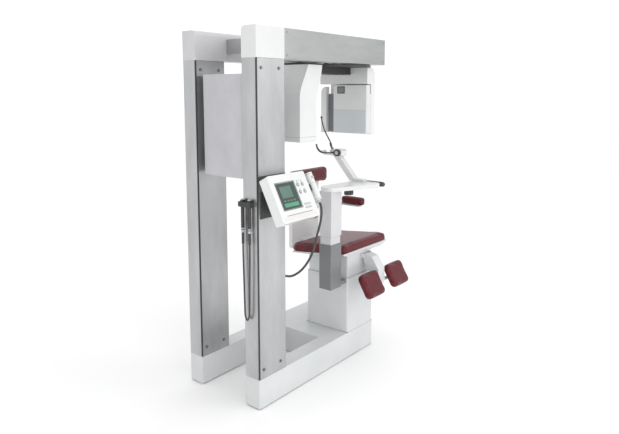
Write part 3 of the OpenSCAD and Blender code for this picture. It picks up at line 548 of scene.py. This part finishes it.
def pad(name, body, node, size, corner, place, mats, cap, seam, voxel=5 * MM):
    """One upholstered pad: blown-up leather form with a sewn border and stitches.
    size is the CAD block's width, length and thickness, and place puts its centre, +Z up."""
    w, l, t = size
    obj = superblock(name, w - 2 * SKIN, l - 2 * SKIN, t - 2 * SKIN, corner, mats["red_leather"])
    inflate(obj, voxel, cap, t / 2)
    spans = [max(v.co[i] for v in obj.data.vertices) - min(v.co[i] for v in obj.data.vertices)
             for i in (0, 1)]
    obj.data.transform(Matrix.Diagonal((w / spans[0], l / spans[1], 1, 1)))
    rim = rim_distance(w - 2 * seam, l - 2 * seam, max(corner - seam / 2, 0.01))

    def waist(p):
        on_side = max(abs(p.x) - w / 2, abs(p.y) - l / 2) > -0.012
        return abs(p.z + WAIST_DROP * t) if on_side else 1.0
    sub = obj.modifiers.new("sub", "SUBSURF")
    sub.levels = sub.render_levels = 1
    apply_modifiers(obj)
    sew(obj, [rim, waist], SEAM_DEPTH, SEAM_HALF_WIDTH)
    path = wrap(obj, outline(w - 2 * seam - 9 * MM, l - 2 * seam - 9 * MM,
                             max(corner - seam / 2, 0.01), steps=8), STITCH_LIFT)
    dense = []
    for a, b in zip(path, path[1:] + path[:1]):
        count = max(1, int((b - a).length / 0.01))
        dense += [a.lerp(b, i / count) for i in range(count)]
    dense = wrap(obj, dense, STITCH_LIFT)
    sewn = stitches(name + "_stitches", dense, mats["thread"])
    for piece in (obj, sewn):
        piece.data.transform(place)
        piece.data.polygons.foreach_set("use_smooth", [True] * len(piece.data.polygons))
    fit(obj, body)
    fit(sewn, body)
    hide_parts(node)
    return obj


def make_upholstery(mats):
    length, thick = SEAT_SIZE[1:]
    tilt = Matrix.Translation(SEAT_CORNER) @ Matrix.Rotation(-SEAT_TILT, 4, "X")
    pad("seat_pad", "chair", "seat_cushion", SEAT_SIZE, 0.045,
        tilt @ Matrix.Translation((0, length / 2, -thick / 2)), mats, 9 * MM, 0.024,
        voxel=6 * MM)
    low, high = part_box("back_pad")
    size = high - low
    turn = Matrix.Rotation(math.pi / 2, 4, "X")
    pad("back_rest_pad", "back_rest", "back_pad", (size.x, size.z, size.y), 0.03,
        Matrix.Translation((low + high) / 2) @ turn, mats, 6 * MM, 0.014)
    for side, body in (("l", "armrest_left"), ("r", "armrest_right")):
        low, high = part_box("armrest_pad_" + side)
        size = high - low
        pad("armrest_" + side, body, "armrest_pad_" + side, tuple(size), 0.022,
            Matrix.Translation((low + high) / 2), mats, 5 * MM, 0.012, voxel=4.5 * MM)
    for side, body, sign in (("l", "leg_left", -1), ("r", "leg_right", 1)):
        hinge = Vector((CHAIR_X + sign * LEG_BAR[0], *LEG_BAR[1:]))
        place = Matrix.Translation(hinge) @ Matrix.Rotation(LEG_TILT, 4, "X")
        pad("leg_cushion_" + side, body, "leg_pad_" + side, LEG_PAD, 0.03,
            place @ Matrix.Translation((0, 0, LEG_PAD_GAP + LEG_PAD[2] / 2)), mats, 3 * MM,
            0.012, voxel=4.5 * MM)


# ---- hard details ---------------------------------------------------------------
def face_place():
    """Frame on the console's face: origin at its lower left, x right, y up, z out."""
    return (Matrix.Translation((COLUMN_X, *CONSOLE_TOP))
            @ Matrix.Rotation(math.pi / 2 - CONSOLE_TILT, 4, "X")
            @ Matrix.Translation((0, -CONSOLE_H, 0)))


def make_console(mats):
    face = face_place()
    screen_x, screen_y, side = SCREEN_X, SCREEN_Y, SCREEN_SIDE

    def on_face(name, w, h, x, y, z, thick, mat, corner, body="console"):
        obj = plate(name, outline(w, h, corner), thick, mats[mat],
                    face @ Matrix.Translation((x + w / 2, y + h / 2, z)))
        return fit(obj, body)
    rim = [(side + 0.010, 0.004, -0.005, -0.005), (side + 0.010, 0.004, -0.005, side + 0.001),
           (0.004, side + 0.002, -0.005, -0.001), (0.004, side + 0.002, side + 0.001, -0.001)]
    for i, (w, h, x, y) in enumerate(rim):
        on_face(f"screen_bezel_{i}", w, h, screen_x + x, screen_y + y, 0.0, 0.0012,
                "mark_grey", 0.001)
    on_face("lcd_field", 0.084, 0.062, screen_x + 0.020, screen_y + 0.060, -0.0005, 0.0004,
            "lcd_field", 0.002)
    on_face("lcd_band", 0.108, 0.020, screen_x + 0.016, screen_y + 0.012, -0.0005, 0.0004,
            "lcd_band", 0.002)
    for i in range(4):
        on_face(f"lcd_row_{i}", 0.016, 0.009, screen_x + 0.022 + 0.024 * i, screen_y + 0.040,
                -0.0005, 0.0004, "lcd_field", 0.001)
    on_face("console_band", 0.262, 0.018, 0.013, 0.010, 0.0, 0.0008, "console_band", 0.004)
    on_face("console_slot", 0.200, 0.003, 0.044, 0.033, 0.0, 0.0006, "mark_grey", 0.001)
    for i in range(4):
        x, y = 0.205 + 0.036 * (i % 2), CONSOLE_H - 0.070 - 0.040 * (i // 2)
        ring = lathe(f"key_ring_{i + 1}", [(0.0082, 0), (0.0106, 0), (0.0104, 0.0012),
                                          (0.0086, 0.0014), (0.0082, 0.001)], mats["mark_grey"],
                     face @ Matrix.Translation((x, y, 0)))
        fit(ring, "console")
        on_face(f"key_mark_{i + 1}", 0.012, 0.0022, x - 0.006, y + 0.0145, 0.0, 0.0005,
                "mark_grey", 0.0008)
    for i in range(3):
        lamp = lathe(f"lamp_{i + 1}", [(0.0028, 0), (0.0028, 0.0008), (0.0018, 0.0019),
                                      (0.0006, 0.0024)],
                     mats["lcd_band" if i == 0 else "key_grey"],
                     face @ Matrix.Translation((0.205 + 0.018 * i, 0.205, 0)), steps=20)
        fit(lamp, "console")
    for i in range(2):
        on_face(f"side_key_{i + 1}", 0.050, 0.010, 0.198, 0.052 + 0.018 * i, 0.0, 0.0016,
                "key_grey", 0.004)
    hand = face @ Matrix.Translation((HANDSET_U, CONSOLE_H - 0.015, HANDSET_W))
    down = hand @ Matrix.Rotation(math.pi / 2, 4, "X")
    for i, z in enumerate((0.006, 0.060, 0.148)):
        ring = lathe(f"handset_ring_{i + 1}", [(0.0188, 0), (0.0196, 0.0006), (0.0196, 0.0024),
                                              (0.0188, 0.003)], mats["key_grey"],
                     down @ Matrix.Translation((0, 0, z)))
        fit(ring, "gantry")
    for i in range(4):
        ring = lathe(f"relief_rib_{i + 1}",
                     [(0.0088 - 0.0006 * i, 0), (0.0096 - 0.0006 * i, 0.0006),
                      (0.0096 - 0.0006 * i, 0.0016), (0.0088 - 0.0006 * i, 0.0022)],
                     mats["dark_plastic"],
                     down @ Matrix.Translation((0, 0, 0.1565 + 0.0036 * i)), steps=24)
        fit(ring, "gantry")


def make_gantry_details(mats):
    low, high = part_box("column_front")
    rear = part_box("column_rear")
    for name, y in (("front", low.y), ("rear", rear[0].y)):
        strip = block(f"corner_strip_{name}", (low.x + 0.0018, y + 0.0014, low.z + 0.002),
                      (low.x + 0.0079, y + 0.0059, high.z - 0.002), mats["dark_plastic"])
        fit(strip, "gantry")
        for i, z in enumerate((low.z + 0.0008, high.z - 0.0018)):
            seam = block(f"seam_{name}_{i}", (low.x + 0.0094, y - 0.0002, z),
                         (high.x - 0.0006, y + 0.0006, z + 0.001), mats["dark_metal"],
                         bevel=0.1 * MM, segments=1)
            fit(seam, "gantry")
    band = block("console_rail", (low.x + 0.001, low.y - 0.0022, 1.224),
                 (high.x - 0.001, low.y, 1.249), mats["dark_metal"], bevel=0.8 * MM)
    fit(band, "gantry")
    low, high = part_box("cabinet_cover")
    for i in range(7):
        z = low.z + 0.040 + 0.012 * i
        slot = block(f"cabinet_vent_{i + 1}", (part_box("cabinet_box")[0].x + 0.02, high.y - 0.0005,
                                               z), (high.x + 0.11, high.y + 0.0008, z + 0.005),
                     mats["dark_metal"], bevel=0.2 * MM, segments=1)
        fit(slot, "gantry")
    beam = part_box("fascia")
    for i, x in enumerate((beam[0].x + 0.020, beam[1].x - 0.020)):
        for j, z in enumerate((beam[0].z + 0.020, beam[1].z - 0.020)):
            head = lathe(f"fascia_screw_{i}{j}", [(0.0045, 0), (0.0045, 0.0008), (0.0036, 0.0016),
                                                 (0.0016, 0.0017), (0.0014, 0.0009)],
                         mats["bolt_steel"],
                         Matrix.Translation((x, beam[0].y, z))
                         @ Matrix.Rotation(math.pi / 2, 4, "X"), steps=24)
            fit(head, "gantry")
    low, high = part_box("pedestal")
    seam = [(low.x - 0.0004, low.y - 0.0004, low.z + 0.0005),
            (high.x + 0.0004, high.y + 0.0004, low.z + 0.0018)]
    fit(block("pedestal_seam", *seam, mats["dark_metal"], bevel=0.2 * MM, segments=1), "gantry")
    gland = lathe("cord_gland_ring", [(0.0102, 0), (0.013, 0.0004), (0.013, 0.003),
                                      (0.0102, 0.005)], mats["dark_plastic"],
                  Matrix.Translation((-0.777, -0.225, 0.650))
                  @ Matrix.Rotation(math.pi / 2, 4, "Y"), steps=32)
    fit(gland, "gantry")
    for name, y in SWITCH_Y.items():
        for z in (1.088, 1.076, 1.064, 1.052, 1.040, 1.028):
            ring = lathe(f"switch_ring_{name}_{round(z * 1000)}",
                         [(0.0089, 0), (0.0098, 0.001), (0.0098, 0.003), (0.0089, 0.004)],
                         mats["grip_rubber"], Matrix.Translation((SWITCH_X, y, z - 0.06)),
                         steps=24)
            fit(ring, "gantry")
        collar = lathe(f"switch_collar_{name}", [(0.0071, 0), (0.0085, 0.001), (0.0085, 0.020),
                                                (0.0071, 0.024)], mats["key_grey"],
                       Matrix.Translation((SWITCH_X, y, 0.955)), steps=24)
        fit(collar, "gantry")
        cap = lathe(f"switch_button_{name}", [(0.0085, 0), (0.0085, 0.004), (0.007, 0.0062),
                                             (0.003, 0.007)], mats["key_grey"],
                    Matrix.Translation((SWITCH_X, y, 1.1244)), steps=24)
        fit(cap, "gantry")


def make_arm_details(mats):
    low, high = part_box("cassette_box")
    bulge = 0.007

    def on_cassette(name, y0, y1, z0, z1, lift, mat, body="cassette"):
        """Thin sheet that follows the cassette box's curved front."""
        bm = bmesh.new()
        count = 24
        cols = []
        for i in range(count + 1):
            y = y0 + (y1 - y0) * i / count
            t = (high.y - 0.004 - y) / (high.y - low.y - 0.008)
            x = low.x + bulge - bulge * math.sin(math.pi * min(max(t, 0), 1))
            cols.append([bm.verts.new((x - d, y, z)) for d in (lift, -0.0005)
                         for z in (z0, z1)])
        for a, b in zip(cols, cols[1:]):
            bm.faces.new((a[0], a[1], b[1], b[0]))
            bm.faces.new((a[1], a[3], b[3], b[1]))
            bm.faces.new((a[3], a[2], b[2], b[3]))
            bm.faces.new((a[2], a[0], b[0], b[2]))
        bm.faces.new((cols[0][0], cols[0][2], cols[0][3], cols[0][1]))
        bm.faces.new((cols[-1][0], cols[-1][1], cols[-1][3], cols[-1][2]))
        bmesh.ops.recalc_face_normals(bm, faces=bm.faces)
        return fit(new_object(name, bm, mats[mat], smooth=False), body)
    on_cassette("cassette_panel", low.y + 0.006, high.y - 0.006, low.z + 0.003, 1.558, 0.0006,
                "cassette_blue")
    on_cassette("cassette_label", -0.051, 0.012, 1.661, 1.708, 0.0007, "dark_plastic")
    on_cassette("cassette_label_field", -0.044, 0.005, 1.667, 1.702, 0.0010, "mark_grey")
    liner = block("track_liner", (0.12478, low.y + 0.002, 1.404), (0.125, 0.1155, 1.658),
                  mats["mark_grey"], bevel=0.05 * MM, segments=1)
    fit(liner, "arm")
    low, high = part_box("tube_cover")
    lens = block("beam_window", (TUBE_FACE_X - 0.0079, -0.0385, 1.4155),
                 (TUBE_FACE_X - 0.0064, -0.0215, 1.5495), mats["dark_plastic"],
                 bevel=0.3 * MM, segments=2)
    fit(lens, "arm")
    for i, z in enumerate((low.z + 0.030, 1.545)):
        for j, y in enumerate((low.y + 0.030, high.y - 0.030)):
            screw = lathe(f"cover_screw_{i}{j}", [(0.0042, 0), (0.0042, 0.0006),
                                                 (0.0034, 0.0012), (0.0014, 0.0012),
                                                 (0.0012, 0.0007)], mats["bolt_steel"],
                          Matrix.Translation((TUBE_FACE_X, y, z))
                          @ Matrix.Rotation(math.pi / 2, 4, "Y"), steps=24)
            fit(screw, "arm")
    band = block("tube_seam", (low.x - 0.0005, low.y - 0.0005, low.z + 0.028),
                 (TUBE_FACE_X + 0.0003, high.y + 0.0005, low.z + 0.0292), mats["mark_grey"],
                 bevel=0.2 * MM, segments=1)
    fit(band, "arm")


def make_head_details(mats):
    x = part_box("block_knob")[0].x
    turn = Matrix.Rotation(-math.pi / 2, 4, "Y")
    cap = lathe("knob_cap", [(0.0128, 0), (0.0128, 0.0010), (0.0118, 0.0022), (0.006, 0.0027)],
                mats["key_grey"], Matrix.Translation((x, JAW_KNOB_Y, JAW_KNOB_Z)) @ turn)
    fit(cap, "jaw_screw")
    for i in range(16):
        a = 2 * math.pi * i / 16
        rib = block(f"knob_rib_{i + 1}", (-0.0011, 0.0215, 0.0008), (0.0011, 0.0229, 0.0130),
                    mats["dark_plastic"],
                    Matrix.Translation((x + 0.014, JAW_KNOB_Y, JAW_KNOB_Z)) @ turn
                    @ Matrix.Rotation(a, 4, "Z"), bevel=0.4 * MM, segments=2)
        fit(rib, "jaw_screw")
    low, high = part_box("hand_grip")
    for i in range(9):
        ring = lathe(f"grip_ring_{i + 1}", [(0.0148, 0), (0.0157, 0.0012), (0.0157, 0.0042),
                                           (0.0148, 0.0054)], mats["grip_rubber"],
                     Matrix.Translation((0.022, low.y + 0.024 + 0.011 * i + 0.0054,
                                         (low.z + high.z) / 2))
                     @ Matrix.Rotation(math.pi / 2, 4, "X"), steps=36)
        fit(ring, "post")
    collar_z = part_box("post_sleeve")[1].z + 0.0504
    low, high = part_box("post_inner")
    seam = [(low.x + 0.0002, low.y + 0.0002, collar_z - 0.0012),
            (high.x - 0.0002, high.y - 0.0002, collar_z + 0.0002)]
    fit(block("post_seam", *seam, mats["mark_grey"], bevel=0.2 * MM, segments=1), "post")


# ---- the CAD pieces that stay -----------------------------------------------------
NODE_MATERIALS = {"hand_grip": "grip_rubber"}
# Radius of the rounded edges, in millimetres
EDGE_RADIUS = {
    "column_front": 0.8, "column_rear": 0.8, "base_beams": 1.5, "top_end_block": 2.0,
    "top_beam_front": 0.8, "fascia": 0.8, "top_beam_rear": 1.5, "cabinet_box": 1.5,
    "cabinet_cover": 2.0, "tube_cover": 3.0, "receptor_frame": 3.0, "cassette_box": 1.5,
    "pedestal": 2.0, "post_sleeve": 1.0, "post_inner": 1.2, "tray": 4.0, "chin_arm": 2.5,
    "head_block": 2.0, "chin_rest": 1.5, "console_body": 4.0, "console_bracket": 0.8,
    "seat_base": 2.0, "leg_arm": 3.0, "back_support": 3.0, "rail_set": 0.8, "turntable": 1.0,
    "jaw_l": 1.0, "jaw_r": 1.0, "switch_holder": 1.2, "armrest_frame_l": 1.0,
    "armrest_frame_r": 1.0, "leg_mount_l": 1.0, "leg_mount_r": 1.0, "handset_button": 1.0,
    "key_1": 0.8, "key_2": 0.8, "key_3": 0.8, "key_4": 0.8, "tray_knob": 1.0, "block_knob": 1.5}


def dress_nodes(mats):
    """Give every CAD piece that still shows its finish and slightly rounded edges."""
    slots = {s["node"]: s["material_slot"] for s in frame["record"]["subparts"]}
    for name, obj in NODES.items():
        mat = mats[NODE_MATERIALS.get(name, slots[name])]
        for holder in obj.material_slots:
            holder.material = mat
        if name in EDGE_RADIUS:
            weld = obj.modifiers.new("weld", "WELD")
            weld.merge_threshold = 0.02 * MM
            bevel = obj.modifiers.new("edges", "BEVEL")
            bevel.width = EDGE_RADIUS[name] * MM
            bevel.segments = 3
            bevel.limit_method = "ANGLE"
            bevel.angle_limit = math.radians(40)
            bevel.harden_normals = True
            bevel.use_clamp_overlap = True


# ---- stage ------------------------------------------------------------------------
def area_light(name, place, target, size, power):
    data = bpy.data.lights.new(name, "AREA")
    data.shape = "RECTANGLE"
    data.size, data.size_y = size
    data.energy = power
    obj = bpy.data.objects.new(name, data)
    obj.location = place
    obj.rotation_mode = "QUATERNION"
    obj.rotation_quaternion = (Vector(target) - Vector(place)).to_track_quat("-Z", "Y")
    bpy.context.scene.collection.objects.link(obj)


def make_stage():
    world = bpy.data.worlds.new("studio")
    bpy.context.scene.world = world
    world.use_nodes = True
    back = world.node_tree.nodes["Background"]
    back.inputs["Color"].default_value = (1, 1, 1, 1)
    back.inputs["Strength"].default_value = 1.08
    bpy.context.scene.view_settings.view_transform = "Standard"
    mat, tree, bsdf, add = shader("floor")
    speck = add("ShaderNodeTexNoise", Scale=3.0, Detail=4.0)
    tree.links.new(ramp(tree, add, speck.outputs["Fac"], [(0.3, grey(0.93)), (0.7, grey(0.95))]),
                   bsdf.inputs["Base Color"])
    bsdf.inputs["Roughness"].default_value = 0.85
    bm = bmesh.new()
    bmesh.ops.create_grid(bm, x_segments=1, y_segments=1, size=30)
    floor = new_object("floor", bm, mat, smooth=False)
    area_light("key", (1.4, -4.2, 3.2), (0, 0, 1.1), (2.2, 2.6), 34)
    area_light("top", (-0.3, -0.4, 4.4), (-0.2, 0, 1.0), (3.0, 3.0), 10)
    area_light("low", (-1.6, -2.6, 0.30), (-0.7, 0, 0.45), (2.0, 0.5), 14)


make_camera()
materials = make_materials()
cord("handset_lead", "handset_cord", HANDSET_ROUTE, 0.013, materials["cord_rubber"])
cord("switch_lead", "switch_cord", SWITCH_ROUTE, 0.009, materials["cord_rubber"])
make_upholstery(materials)
make_console(materials)
make_gantry_details(materials)
make_arm_details(materials)
make_head_details(materials)
dress_nodes(materials)
make_stage()
